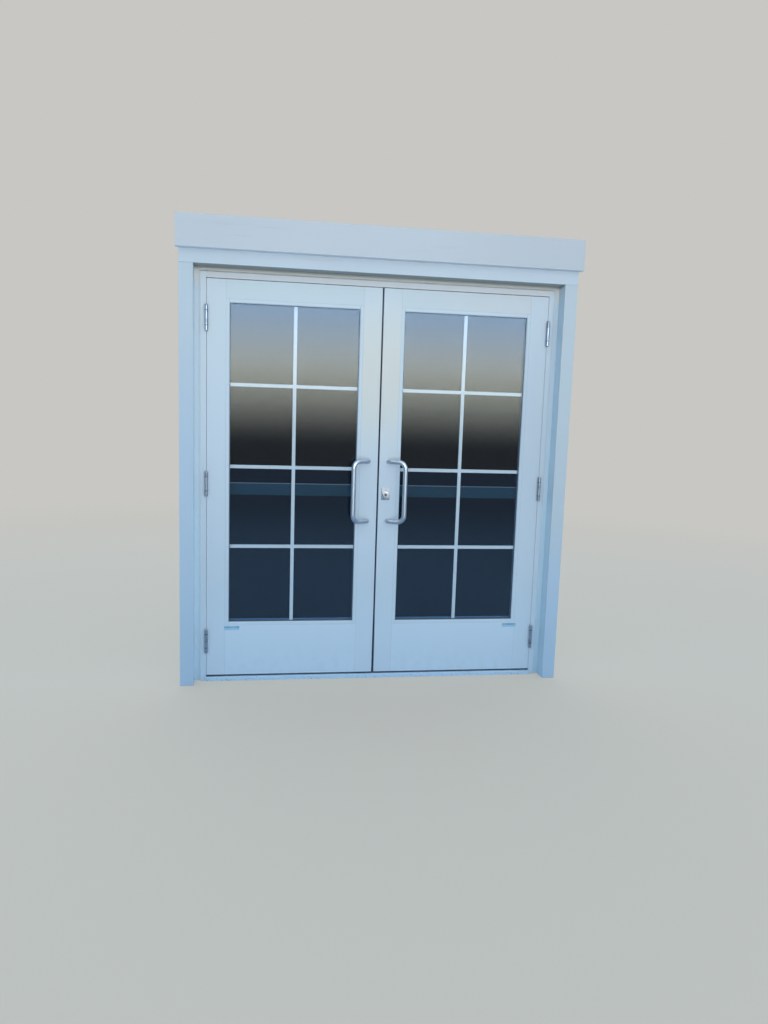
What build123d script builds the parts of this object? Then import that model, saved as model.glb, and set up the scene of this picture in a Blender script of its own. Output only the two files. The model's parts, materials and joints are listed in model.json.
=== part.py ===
from build123d import *
import os

# A pair of glazed aluminium entrance doors in their frame, in millimetres.
# X runs to the right as seen from outside, Y into the building and Z up.
# The origin is on the ground under the middle of the meeting gap, in the plane of the leaves' outer face.

# Leaves and the gaps they run in
leaf_width = 907.0
leaf_height = 2101.5
leaf_thick = 44.5
hinge_gap = 3.0
meeting_gap = 8.0
head_gap = 3.0
sweep_gap = 6.0
edge_break = 0.6

# Stiles and rails, drawn as hollow sections
stile_width = 97.0
top_rail_height = 97.0
bottom_rail_height = 280.5
tube_wall = 3.0
mortise_wall = 6.0

# Glazing
stop_width = 19.0
stop_inset = 0.8
stop_depth = 9.2
stop_bevel = 3.0
glass_play = 4.0
pane_thick = 5.0
air_space = 14.0
seat_gap = 0.3
spacer_set_in = 1.0
spacer_showing = 3.5
bar_width = 18.0
bar_thick = 6.0
light_rows = 4
block_length = 100.0

# Jambs and head
jamb_face = 30.0
jamb_depth = 116.0
rabbet_seal = 6.0
jamb_stop = 16.0
kerf_width = 3.0
seal_width = 10.0
anchor_hole = 8.0
anchor_low_inset = 300.0
anchor_high_inset = 262.5
head_anchor_inset = 314.0

# Threshold
sill_height = 22.0
sill_front = 6.0
sill_round = 4.0
bumper_rise = 12.0
bumper_top = 16.0
sill_back = 11.0
sill_seal_inset = 1.0

# Trim round the frame
trim_wall = 5.0
trim_step = 15.0
side_trim_width = 29.0
head_trim_width = 25.5
casing_reach = 54.0
casing_width = 70.0
casing_thick = 19.0
header_height = 158.0
header_thick = 37.0
header_overhang = 13.0
board_break = 1.2

# Hinges
hinge_height = 127.0
hinge_end_knuckle = 26.0
hinge_barrel = 17.0
hinge_pin = 6.4
hinge_stand = 9.5
hinge_plate = 3.0
hinge_plate_width = 30.0
hinge_tip = 4.0
hinge_tip_taper = 3.0
hinge_inset = 198.0
knuckle_gap = 0.4
pin_play = 0.05

# Height of the pulls and the exit devices
hardware_height = 1052.0

# Pull handles
pull_tube = 25.4
pull_centres = 326.0
pull_foot_x = 56.0
pull_reach = 84.0
pull_projection = 60.0
pull_neck = 16.0
pull_foot_bend = 24.0
pull_grip_bend = 38.0
pull_bolt = 8.0
pull_bolt_depth = 22.0
bolt_head = 18.0
bolt_head_height = 4.0
bolt_head_bevel = 2.4
bolt_end_gap = 2.0
hole_play = 0.2

# Exit devices on the inside
rail_height = 66.0
rail_depth = 32.0
rail_wall = 2.5
case_width = 75.0
case_height = 190.0
case_depth = 50.0
case_margin = 9.0
case_round = 6.0
cap_length = 40.0
cap_depth = 38.0
cap_margin = 41.0
cap_round = 22.0
bar_depth = 32.0
bar_stand = 5.0
bar_round = 6.0
bar_end_gap = 3.0
slide_play = 0.3

# Latch rods hidden in the lock stiles
rod_size = 12.0
rod_x = 78.0
rod_play = 0.1
rod_drop = 1.0
rod_tail = 15.0
guide_height = 22.0
link_slot_width = 16.0
link_slot_height = 60.0
strike_length = 64.0
strike_width = 30.0
strike_thick = 3.0
strike_play = 1.5

# Sweep and meeting seal
sweep_width = 14.0
sweep_root = 5.0
sweep_run = 0.6
astragal_width = 8.0
astragal_reach = 6.0
astragal_root = 2.0
astragal_round = 3.0
astragal_set_back = 5.0

# Key lock on the right leaf
lock_x = 43.0
lock_drop = 19.0
lock_plate_rise = 5.0
lock_plate_width = 46.0
lock_plate_height = 66.0
lock_plate_thick = 3.5
cylinder_size = 30.0
collar_size = 36.0
collar_reach = 9.0
cylinder_reach = 10.5
cylinder_depth = 30.0
nose_size = 28.0
plug_size = 13.0
plug_proud = 0.6
keyway_width = 1.9
keyway_height = 8.5
keyway_depth = 3.0

# Places worked out from the sizes above
leaf_low = sill_height + sweep_gap
leaf_high = leaf_low + leaf_height
head_z = leaf_high + head_gap
meeting_x = meeting_gap / 2
edge_x = meeting_x + leaf_width
opening_x = edge_x + hinge_gap
jamb_x = opening_x + jamb_face
head_top = head_z + jamb_face
rabbet_y = leaf_thick + rabbet_seal
light_x = (meeting_x + stile_width, edge_x - stile_width)
light_z = (leaf_low + bottom_rail_height, leaf_high - top_rail_height)
unit_x = (light_x[0] + glass_play, light_x[1] - glass_play)
unit_z = (light_z[0] + glass_play, light_z[1] - glass_play)
sight_x = (light_x[0] + stop_width, light_x[1] - stop_width)
sight_z = (light_z[0] + stop_width, light_z[1] - stop_width)
outer_stop_y = (stop_inset, stop_inset + stop_depth)
outer_pane_y = (outer_stop_y[1] + seat_gap, outer_stop_y[1] + seat_gap + pane_thick)
space_y = (outer_pane_y[1], outer_pane_y[1] + air_space)
inner_pane_y = (space_y[1], space_y[1] + pane_thick)
inner_stop_y = (inner_pane_y[1] + seat_gap, leaf_thick - stop_inset)
casing_x = jamb_x + side_trim_width
casing_z = head_top + head_trim_width
casing_outer_x = casing_x + casing_width
casing_top = casing_z + casing_width
casing_front = -casing_reach - casing_thick
hinge_x = opening_x - hinge_gap / 2
hinge_low = leaf_low + hinge_inset
hinge_high = leaf_high - hinge_inset
hinge_heights = (hinge_low, (hinge_low + hinge_high) / 2, hinge_high)
pull_heights = (hardware_height - pull_centres / 2, hardware_height + pull_centres / 2)
case_x = (meeting_x + case_margin, meeting_x + case_margin + case_width)
cap_x = (edge_x - cap_margin - cap_length, edge_x - cap_margin)
rod_y = leaf_thick / 2
lock_height = hardware_height - lock_drop
plate_height = lock_height + lock_plate_rise
astragal_y = (astragal_set_back, astragal_set_back + astragal_width)
anchor_y = (rabbet_y + jamb_depth) / 2
head_anchor_x = opening_x - head_anchor_inset

# How turned pieces stand on their starting point
standing = (Align.CENTER, Align.CENTER, Align.MIN)


def span(x, y, z):
    """Box that fills three (low, high) ranges."""
    middle = [(low + high) / 2 for low, high in (x, y, z)]
    size = [high - low for low, high in (x, y, z)]
    return Pos(*middle) * Box(*size)


def upright(outline, z):
    """Straight length along Z of a section given by its (x, y) corners."""
    section = make_face(Polyline(*outline, close=True))
    return extrude(Pos(0, 0, z[0]) * section, amount=z[1] - z[0], dir=(0, 0, 1))


def level(outline, x):
    """Straight length along X of a section given by its (y, z) corners."""
    section = make_face(Polyline(*outline, close=True))
    plane = Plane(origin=(x[0], 0, 0), x_dir=(0, 1, 0), z_dir=(1, 0, 0))
    return extrude(plane * section, amount=x[1] - x[0], dir=(1, 0, 0))


def rod(axis, start, length, size):
    """Round bar of a diameter that runs from a point along an axis direction."""
    return Plane(origin=start, z_dir=axis) * Cylinder(size / 2, length, align=standing)


def break_faces(solid, amount):
    """Chamfers the edges of a board's or rail's outer and inner faces."""
    across = solid.edges().group_by(Axis.Y)
    return chamfer(across[0] + across[-1], amount)


def left_of(piece):
    """The same piece for the left side."""
    return mirror(piece, about=Plane.YZ)


def jamb_section():
    """Outline and hollow of the frame section, as (distance out of the opening, y) corners."""
    inner = tube_wall
    outline = [
        (0, 0),
        (jamb_face, 0),
        (jamb_face, jamb_depth),
        (-jamb_stop, jamb_depth),
        (-jamb_stop, rabbet_y),
        (0, rabbet_y),
    ]
    hollow = [
        (mortise_wall, inner),
        (jamb_face - inner, inner),
        (jamb_face - inner, jamb_depth - inner),
        (inner - jamb_stop, jamb_depth - inner),
        (inner - jamb_stop, rabbet_y + inner),
        (mortise_wall, rabbet_y + inner),
    ]
    return outline, hollow


def kerf_range():
    """Where the seal's kerf lies in the stop, as distances out of the opening."""
    middle = -jamb_stop / 2
    return middle - kerf_width / 2, middle + kerf_width / 2


def hinge_mortise(x):
    """The three pockets for hinge plates, over a range of X."""
    half = hinge_height / 2
    pockets = [span(x, (-hinge_stand, hinge_plate_width), (z - half, z + half)) for z in hinge_heights]
    return pockets[0] + pockets[1] + pockets[2]


def side_jamb():
    """Right jamb, from the ground to the top of the frame."""
    outline, hollow = jamb_section()
    height = (0, head_top)
    jamb = upright([(opening_x + out, y) for out, y in outline], height)
    jamb = chamfer(jamb.edges().filter_by(Axis.Z).group_by(Axis.Y)[0], edge_break)
    jamb -= upright([(opening_x + out, y) for out, y in hollow], height)
    low, high = kerf_range()
    jamb -= span((opening_x + low, opening_x + high), (rabbet_y, rabbet_y + tube_wall), height)
    jamb -= hinge_mortise((opening_x, opening_x + hinge_plate))
    for z in (anchor_low_inset, head_top - anchor_high_inset):
        jamb -= rod((1, 0, 0), (opening_x - jamb_stop, anchor_y, z), jamb_stop + jamb_face, anchor_hole)
    return jamb


def head_jamb():
    """Head of the frame, coped round the stops of the side jambs."""
    outline, hollow = jamb_section()
    width = (-opening_x, opening_x)
    head = level([(y, head_z + out) for out, y in outline], width)
    head = chamfer(head.edges().filter_by(Axis.X).group_by(Axis.Y)[0], edge_break)
    head -= level([(y, head_z + out) for out, y in hollow], width)
    low, high = kerf_range()
    head -= span(width, (rabbet_y, rabbet_y + tube_wall), (head_z + low, head_z + high))
    for side in (-1, 1):
        end = sorted((side * opening_x, side * (opening_x - jamb_stop)))
        head -= span(end, (rabbet_y, jamb_depth), (head_z - jamb_stop, head_top))
        head -= strike_pocket(side)
        anchor = (side * head_anchor_x, anchor_y, head_z - jamb_stop)
        head -= rod((0, 0, 1), anchor, jamb_stop + jamb_face, anchor_hole)
    return head


def strike_pocket(side):
    """Pocket of one strike plate in the head and the bolt's hole above it."""
    across = (side * rod_x - strike_length / 2, side * rod_x + strike_length / 2)
    deep = (rod_y - strike_width / 2, rod_y + strike_width / 2)
    plate = span(across, deep, (head_z, head_z + strike_thick))
    hole = rod((0, 0, 1), (side * rod_x, rod_y, head_z), mortise_wall, rod_size + 2 * strike_play)
    return plate + hole


def strike_plate(side):
    """Strike plate let into the head over a latch rod."""
    across = (side * rod_x - strike_length / 2, side * rod_x + strike_length / 2)
    deep = (rod_y - strike_width / 2, rod_y + strike_width / 2)
    plate = span(across, deep, (head_z, head_z + strike_thick))
    return plate - rod((0, 0, 1), (side * rod_x, rod_y, head_z), strike_thick, rod_size + 2 * strike_play)


def threshold():
    """Hollow threshold with a bumper that stops the leaves' inner face."""
    raised = sill_height + bumper_rise
    bumper_back = rabbet_y + bumper_top
    outline = [
        (-sill_front, 0),
        (-sill_front, sill_height),
        (rabbet_y, sill_height),
        (rabbet_y, raised),
        (bumper_back, raised),
        (jamb_depth, sill_back),
        (jamb_depth, 0),
    ]
    wall = tube_wall
    back_wall = 2 * tube_wall
    hollow = [
        (wall - sill_front, wall),
        (wall - sill_front, sill_height - wall),
        (rabbet_y + wall, sill_height - wall),
        (rabbet_y + wall, raised - wall),
        (bumper_back - wall, raised - wall),
        (jamb_depth - back_wall, sill_back - wall / 2),
        (jamb_depth - back_wall, wall),
    ]
    width = (-opening_x, opening_x)
    sill = level(outline, width)
    front_top = sill.edges().filter_by(Axis.X).group_by(Axis.Y)[0].sort_by(Axis.Z)[-1]
    sill = fillet(front_top, sill_round)
    sill -= level(hollow, width)
    for side in (-1, 1):
        end = sorted((side * opening_x, side * (opening_x - jamb_stop)))
        sill -= span(end, (rabbet_y, jamb_depth), (0, raised))
    return sill


def seal_strip(length, across, along):
    """Straight seal with a rounded face, from its length, its width and its place on the stop."""
    face = (leaf_thick + seat_gap, rabbet_y)
    strip = span(across, face, length) if along == "z" else span(length, face, across)
    edges = strip.edges().filter_by(Axis.Z if along == "z" else Axis.X)
    return fillet(edges.group_by(Axis.Y)[0], (face[1] - face[0]) / 2)


def frame_weatherstrip():
    """Seals on both jamb stops, the head stop and the threshold's bumper."""
    low, high = kerf_range()
    root = (rabbet_y, rabbet_y + tube_wall)
    middle = -jamb_stop / 2
    half = seal_width / 2
    sill_top = sill_height + bumper_rise
    side_z = (sill_top, head_z - jamb_stop)
    side = seal_strip(side_z, (opening_x + middle - half, opening_x + middle + half), "z")
    side += span((opening_x + low + hole_play, opening_x + high - hole_play), root, side_z)
    head_x = (jamb_stop - opening_x, opening_x - jamb_stop)
    head = seal_strip(head_x, (head_z + middle - half, head_z + middle + half), "x")
    head += span(head_x, root, (head_z + low + hole_play, head_z + high - hole_play))
    sill_z = (sill_height + sill_seal_inset, sill_top - sill_seal_inset)
    sill = seal_strip(head_x, sill_z, "x")
    return Compound([side.solid(), left_of(side).solid(), head.solid(), sill.solid()])


def return_trim():
    """Three angle trims that close the space between the frame and the casing."""
    back = trim_step + trim_wall
    outer = casing_x + trim_wall
    top = casing_z + trim_wall
    leg = span((casing_x, outer), (-casing_reach, back), (0, top))
    side = leg + span((jamb_x, casing_x), (trim_step, back), (0, casing_z))
    head = span((-casing_x, casing_x), (-casing_reach, back), (casing_z, top))
    head += span((-jamb_x, jamb_x), (trim_step, back), (head_top, casing_z))
    return Compound([side.solid(), left_of(side).solid(), head.solid()])


def side_casing():
    """Right casing board, under the head casing."""
    board = span((casing_x, casing_outer_x), (casing_front, -casing_reach), (0, casing_z))
    return chamfer(board.edges().group_by(Axis.Y)[0], board_break)


def head_casing():
    """Casing board over the opening, across both side boards."""
    board = span((-casing_outer_x, casing_outer_x), (casing_front, -casing_reach), (casing_z, casing_top))
    return chamfer(board.edges().group_by(Axis.Y)[0], board_break)


def header_board():
    """Deep board over the casing, standing out in front of it."""
    reach = casing_outer_x + header_overhang
    height = (casing_top, casing_top + header_height)
    board = span((-reach, reach), (casing_front - header_thick, casing_front), height)
    return chamfer(board.edges().group_by(Axis.Y)[0], board_break)


def header_backer():
    """Board behind the header, flush with the casing."""
    height = (casing_top, casing_top + header_height)
    return span((-casing_outer_x, casing_outer_x), (casing_front, -casing_reach), height)


def barrel(z):
    """One hinge knuckle over a range of height, still without its bore."""
    return rod((0, 0, 1), (hinge_x, -hinge_stand, z[0]), z[1] - z[0], hinge_barrel)


def pin_bore(z):
    """Bore for the hinge pin over a range of height."""
    return rod((0, 0, 1), (hinge_x, -hinge_stand, z[0]), z[1] - z[0], hinge_pin + 2 * pin_play)


def frame_hinge_leaf(z):
    """Frame half of one right hinge: plate and two end knuckles."""
    low = z - hinge_height / 2
    high = z + hinge_height / 2
    plate_x = (opening_x, opening_x + hinge_plate)
    half = span(plate_x, (0, hinge_plate_width), (low, high))
    for part_z in ((low, low + hinge_end_knuckle), (high - hinge_end_knuckle, high)):
        half += span(plate_x, (-hinge_stand, 0), part_z) + barrel(part_z)
    return half - pin_bore((low, high))


def leaf_hinge_leaf(z):
    """Leaf half of one right hinge: plate and the long middle knuckle."""
    low = z - hinge_height / 2
    high = z + hinge_height / 2
    plate_x = (edge_x - hinge_plate, edge_x)
    middle = (low + hinge_end_knuckle + knuckle_gap, high - hinge_end_knuckle - knuckle_gap)
    half = span(plate_x, (0, hinge_plate_width), (low, high))
    half += span(plate_x, (-hinge_stand, 0), middle) + barrel(middle)
    return half - pin_bore((low, high))


def hinge_pin_piece(z):
    """Pin of one right hinge with a tapered tip at each end."""
    low = z - hinge_height / 2
    pin = rod((0, 0, 1), (hinge_x, -hinge_stand, low), hinge_height, hinge_pin)
    for start, way in ((low, -1), (low + hinge_height, 1)):
        place = Plane(origin=(hinge_x, -hinge_stand, start), z_dir=(0, 0, way))
        pin += place * Cone(hinge_barrel / 2, hinge_barrel / 2 - hinge_tip_taper, hinge_tip, align=standing)
    return pin


def hinge_stile():
    """Right leaf's stile on the hinge side, with pockets for the hinge plates."""
    x = (edge_x - stile_width, edge_x)
    stile = break_faces(span(x, (0, leaf_thick), (leaf_low, leaf_high)), edge_break)
    inside = (x[0] + tube_wall, x[1] - mortise_wall)
    stile -= span(inside, (tube_wall, leaf_thick - tube_wall), (leaf_low, leaf_high))
    return stile - hinge_mortise((edge_x - hinge_plate, edge_x))


def lock_stile(with_lock, with_seal):
    """Right leaf's stile at the meeting gap, bored for the pull, the link and the lock."""
    x = (meeting_x, meeting_x + stile_width)
    stile = break_faces(span(x, (0, leaf_thick), (leaf_low, leaf_high)), edge_break)
    inside = (x[0] + tube_wall, x[1] - tube_wall)
    stile -= span(inside, (tube_wall, leaf_thick - tube_wall), (leaf_low, leaf_high))
    for z in pull_heights:
        stile -= rod((0, 1, 0), (pull_foot_x, 0, z), leaf_thick, pull_bolt + 2 * hole_play)
    slot_x = (rod_x - link_slot_width / 2, rod_x + link_slot_width / 2)
    slot_z = (hardware_height - link_slot_height / 2, hardware_height + link_slot_height / 2)
    stile -= span(slot_x, (leaf_thick - tube_wall, leaf_thick), slot_z)
    if with_lock:
        stile -= rod((0, 1, 0), (lock_x, 0, lock_height), tube_wall, cylinder_size + 2 * hole_play)
    if with_seal:
        stile -= span((x[0], x[0] + astragal_root), astragal_y, (leaf_low, leaf_high))
    return stile


def top_rail():
    """Right leaf's top rail between its stiles."""
    z = (light_z[1], leaf_high)
    rail = break_faces(span(light_x, (0, leaf_thick), z), edge_break)
    return rail - span(light_x, (tube_wall, leaf_thick - tube_wall), (z[0] + tube_wall, z[1] - tube_wall))


def bottom_rail():
    """Right leaf's deep bottom rail, slotted underneath for the sweep."""
    z = (leaf_low, light_z[0])
    rail = break_faces(span(light_x, (0, leaf_thick), z), edge_break)
    rail -= span(light_x, (tube_wall, leaf_thick - tube_wall), (z[0] + tube_wall, z[1] - tube_wall))
    slot = (rod_y - sweep_root / 2 - hole_play, rod_y + sweep_root / 2 + hole_play)
    return rail - span(light_x, slot, (leaf_low, leaf_low + tube_wall))


def door_sweep():
    """Seal under the right leaf that runs just above the threshold."""
    low = sill_height + sweep_run
    body_y = (rod_y - sweep_width / 2, rod_y + sweep_width / 2)
    sweep_bar = span((meeting_x, edge_x), body_y, (low, leaf_low))
    sweep_bar = fillet(sweep_bar.edges().filter_by(Axis.X).group_by(Axis.Z)[0], (leaf_low - low) / 2)
    root_y = (rod_y - sweep_root / 2, rod_y + sweep_root / 2)
    return sweep_bar + span(light_x, root_y, (leaf_low, leaf_low + tube_wall))


def meeting_seal():
    """Seal in the lock stile's edge, reaching across most of the meeting gap."""
    x = (meeting_x - astragal_reach, meeting_x + astragal_root)
    strip = span(x, astragal_y, (leaf_low, leaf_high))
    return fillet(strip.edges().filter_by(Axis.Z).group_by(Axis.X)[0], astragal_round)


def stop_bar(x, z, y, toward, along):
    """Glazing stop with the edge nearest the glass opening bevelled on its open face."""
    bar = span(x, y, z)
    open_face = bar.edges().group_by(Axis.Y)[0 if y[0] < leaf_thick / 2 else -1]
    axis = Axis.Z if along == "x" else Axis.X
    edge = open_face.filter_by(Axis.X if along == "x" else Axis.Z).sort_by(axis)[-1 if toward > 0 else 0]
    return chamfer(edge, stop_bevel)


def glazing_stops(y):
    """Four stops of one face of the right leaf, uprights through and cross pieces between."""
    sides = (light_x[0], sight_x[0]), (sight_x[1], light_x[1])
    levels = (light_z[0], sight_z[0]), (sight_z[1], light_z[1])
    bars = [
        stop_bar(sides[0], light_z, y, 1, "z"),
        stop_bar(sides[1], light_z, y, -1, "z"),
        stop_bar(sight_x, levels[0], y, 1, "x"),
        stop_bar(sight_x, levels[1], y, -1, "x"),
    ]
    return Compound([bar.solid() for bar in bars])


def pane(y):
    """One sheet of the sealed glass unit."""
    return span(unit_x, y, unit_z)


def pane_spacer():
    """Dark spacer frame that seals the two panes a fixed distance apart."""
    outer = span(
        (unit_x[0] + spacer_set_in, unit_x[1] - spacer_set_in),
        space_y,
        (unit_z[0] + spacer_set_in, unit_z[1] - spacer_set_in),
    )
    inner = span(
        (sight_x[0] + spacer_showing, sight_x[1] - spacer_showing),
        space_y,
        (sight_z[0] + spacer_showing, sight_z[1] - spacer_showing),
    )
    return outer - inner


def grille():
    """Flat bars between the panes: one upright, and cross bars that butt against it."""
    y = (sum(space_y) / 2 - bar_thick / 2, sum(space_y) / 2 + bar_thick / 2)
    left = sight_x[0] + spacer_showing
    right = sight_x[1] - spacer_showing
    middle = sum(unit_x) / 2
    upright_x = (middle - bar_width / 2, middle + bar_width / 2)
    bars = [span(upright_x, y, (sight_z[0] + spacer_showing, sight_z[1] - spacer_showing))]
    row = (unit_z[1] - unit_z[0]) / light_rows
    for count in range(1, light_rows):
        height = unit_z[0] + row * count
        bar_z = (height - bar_width / 2, height + bar_width / 2)
        bars.append(span((left, upright_x[0]), y, bar_z))
        bars.append(span((upright_x[1], right), y, bar_z))
    return Compound([bar.solid() for bar in bars])


def setting_blocks():
    """Two blocks on the bottom rail that carry the glass unit at its quarter points."""
    y = (outer_pane_y[0], inner_pane_y[1])
    width = unit_x[1] - unit_x[0]
    blocks = []
    for quarter in (0.25, 0.75):
        middle = unit_x[0] + width * quarter
        x = (middle - block_length / 2, middle + block_length / 2)
        blocks.append(span(x, y, (light_z[0], unit_z[0])))
    return Compound([block.solid() for block in blocks])


def pull_handle():
    """Bent round bar: two feet on the lock stile and a grip set off towards the glass."""
    low, high = pull_heights
    grip_x = pull_foot_x + pull_reach
    corners = [
        (pull_foot_x, 0, high),
        (pull_foot_x, -pull_neck, high),
        (grip_x, -pull_projection, high),
        (grip_x, -pull_projection, low),
        (pull_foot_x, -pull_neck, low),
        (pull_foot_x, 0, low),
    ]
    bends = [pull_foot_bend, pull_grip_bend, pull_grip_bend, pull_foot_bend]
    route = FilletPolyline(*corners, radius=bends)
    start = Plane(origin=corners[0], z_dir=(0, -1, 0))
    handle = sweep(start * Circle(pull_tube / 2), path=route)
    for z in pull_heights:
        handle -= rod((0, -1, 0), (pull_foot_x, 0, z), pull_bolt_depth, pull_bolt + 2 * hole_play)
    return handle


def pull_bolts():
    """Two bolts through the lock stile into the feet of the pull."""
    bolts = []
    for z in pull_heights:
        tip = bolt_end_gap - pull_bolt_depth
        bolt = rod((0, 1, 0), (pull_foot_x, tip, z), leaf_thick - tip, pull_bolt)
        head = rod((0, 1, 0), (pull_foot_x, leaf_thick, z), bolt_head_height, bolt_head)
        bolt += chamfer(head.edges().group_by(Axis.Y)[-1], bolt_head_bevel)
        bolts.append(bolt.solid())
    return Compound(bolts)


def exit_case():
    """Closed housing of the exit device over the lock stile."""
    z = (hardware_height - case_height / 2, hardware_height + case_height / 2)
    case = span(case_x, (leaf_thick, leaf_thick + case_depth), z)
    front = case.edges().group_by(Axis.Y)[-1] + case.edges().filter_by(Axis.Y)
    return fillet(front, case_round)


def exit_rail():
    """Open channel across the leaf that carries the touch bar."""
    z = (hardware_height - rail_height / 2, hardware_height + rail_height / 2)
    x = (case_x[1], cap_x[0])
    rail = span(x, (leaf_thick, leaf_thick + rail_depth), z)
    hollow_z = (z[0] + rail_wall, z[1] - rail_wall)
    return rail - span(x, (leaf_thick + rail_wall, leaf_thick + rail_depth), hollow_z)


def exit_end_cap():
    """Rounded cap that closes the rail on the hinge stile."""
    z = (hardware_height - rail_height / 2, hardware_height + rail_height / 2)
    cap = span(cap_x, (leaf_thick, leaf_thick + cap_depth), z)
    far_side = cap.edges().group_by(Axis.X)[-1].filter_by(Axis.Z).sort_by(Axis.Y)[-1]
    return fillet(far_side, cap_round)


def touch_bar():
    """Channel-shaped bar that is pressed into the rail to draw the latch."""
    half = rail_height / 2 - rail_wall - slide_play
    back = leaf_thick + rail_wall + bar_stand
    x = (case_x[1] + bar_end_gap, cap_x[0] - bar_end_gap)
    bar = span(x, (back, back + bar_depth), (hardware_height - half, hardware_height + half))
    bar = fillet(bar.edges().filter_by(Axis.X).group_by(Axis.Y)[-1], bar_round)
    inside = half - rail_wall
    hollow_z = (hardware_height - inside, hardware_height + inside)
    return bar - span(x, (back, back + bar_depth - rail_wall), hollow_z)


def latch_rod():
    """Rod in the lock stile, from the exit device up to the top of the leaf."""
    low = hardware_height - rod_tail
    return rod((0, 0, 1), (rod_x, rod_y, low), leaf_high - rod_drop - low, rod_size)


def latch_guide():
    """Two blocks in the lock stile that guide the latch rod."""
    x = (meeting_x + tube_wall + hole_play, meeting_x + stile_width - tube_wall - hole_play)
    y = (tube_wall + hole_play, leaf_thick - tube_wall - hole_play)
    top = leaf_high - edge_break
    above_link = hardware_height + case_height / 2 - guide_height
    blocks = []
    for z in ((above_link, above_link + guide_height), (top - guide_height, top)):
        block = span(x, y, z) - rod((0, 0, 1), (rod_x, rod_y, z[0]), guide_height, rod_size + 2 * rod_play)
        blocks.append(block.solid())
    return Compound(blocks)


def lock_plate():
    """Flat plate behind the key cylinder."""
    x = (lock_x - lock_plate_width / 2, lock_x + lock_plate_width / 2)
    z = (plate_height - lock_plate_height / 2, plate_height + lock_plate_height / 2)
    plate = span(x, (-lock_plate_thick, 0), z)
    plate = chamfer(plate.edges().group_by(Axis.Y)[0], board_break)
    hole = rod((0, -1, 0), (lock_x, 0, lock_height), lock_plate_thick, cylinder_size + 2 * hole_play)
    return plate - hole


def key_cylinder():
    """Lock cylinder with its tapered collar, through the plate and the stile's outer wall."""
    plate_face = (lock_x, -lock_plate_thick, lock_height)
    body = rod((0, 1, 0), plate_face, lock_plate_thick + cylinder_depth, cylinder_size)
    front = -lock_plate_thick - cylinder_reach
    nose = rod((0, 1, 0), (lock_x, front, lock_height), cylinder_reach, nose_size)
    place = Plane(origin=plate_face, z_dir=(0, -1, 0))
    collar = place * Cone(collar_size / 2, cylinder_size / 2, collar_reach, align=standing)
    bore = rod((0, 1, 0), (lock_x, front, lock_height), cylinder_depth, plug_size + 2 * pin_play)
    return body + nose + collar - bore


def key_plug():
    """Turning plug of the lock cylinder, with its keyway."""
    front = -lock_plate_thick - cylinder_reach - plug_proud
    plug = rod((0, 1, 0), (lock_x, front, lock_height), cylinder_depth + plug_proud - seat_gap, plug_size)
    half = keyway_height / 2
    slot = span(
        (lock_x - keyway_width / 2, lock_x + keyway_width / 2),
        (front, front + keyway_depth),
        (lock_height - half, lock_height + half),
    )
    return plug - slot


def frame_parts():
    """Every piece of the fixed frame, by name."""
    hinge_leaves = [frame_hinge_leaf(z).solid() for z in hinge_heights]
    pins = [hinge_pin_piece(z).solid() for z in hinge_heights]
    return {
        "left_jamb": left_of(side_jamb()),
        "right_jamb": side_jamb(),
        "head_jamb": head_jamb(),
        "threshold": threshold(),
        "frame_weatherstrip": frame_weatherstrip(),
        "return_trim": return_trim(),
        "left_casing": left_of(side_casing()),
        "right_casing": side_casing(),
        "head_casing": head_casing(),
        "header_board": header_board(),
        "header_backer": header_backer(),
        "latch_strikes": Compound([strike_plate(side).solid() for side in (-1, 1)]),
        "frame_hinge_leaves": Compound(hinge_leaves + [left_of(half).solid() for half in hinge_leaves]),
        "hinge_pins": Compound(pins + [left_of(pin).solid() for pin in pins]),
    }


def leaf_parts(with_lock, with_seal):
    """Every piece that both leaves have, as the right leaf's, by name."""
    return {
        "hinge_stile": hinge_stile(),
        "lock_stile": lock_stile(with_lock, with_seal),
        "top_rail": top_rail(),
        "bottom_rail": bottom_rail(),
        "door_sweep": door_sweep(),
        "outer_stops": glazing_stops(outer_stop_y),
        "inner_stops": glazing_stops(inner_stop_y),
        "outer_pane": pane(outer_pane_y),
        "inner_pane": pane(inner_pane_y),
        "pane_spacer": pane_spacer(),
        "grille": grille(),
        "setting_blocks": setting_blocks(),
        "hinge_leaves": Compound([leaf_hinge_leaf(z).solid() for z in hinge_heights]),
        "pull": pull_handle(),
        "pull_bolts": pull_bolts(),
        "exit_case": exit_case(),
        "exit_rail": exit_rail(),
        "exit_end_cap": exit_end_cap(),
        "touch_bar": touch_bar(),
        "latch_rod": latch_rod(),
        "latch_guide": latch_guide(),
    }


def all_parts():
    """Every piece of the pair of doors, by name."""
    parts = frame_parts()
    for name, piece in leaf_parts(with_lock=False, with_seal=True).items():
        parts["left_" + name] = left_of(piece)
    for name, piece in leaf_parts(with_lock=True, with_seal=False).items():
        parts["right_" + name] = piece
    parts["meeting_seal"] = left_of(meeting_seal())
    parts["lock_plate"] = lock_plate()
    parts["key_cylinder"] = key_cylinder()
    parts["key_plug"] = key_plug()
    return parts


os.makedirs("parts", exist_ok=True)
for name, piece in all_parts().items():
    export_step(piece, f"parts/{name}.step")
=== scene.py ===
# %% [markdown]
# # A pair of glazed entrance doors
#
# The packed CAD model already has the shape of these doors: white aluminium leaves in a deep
# frame, sealed glass with flat bars inside it, pull handles outside and touch bars inside. This
# lesson gives them what a camera sees: paint, glass, rubber and metal, and the screws, seals and
# strips that are too small for the CAD model. The model is loaded as a fixed frame. Its pieces
# are given finishes but are never moved.

import json
import math

import bpy
from mathutils import Matrix, Vector


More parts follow.
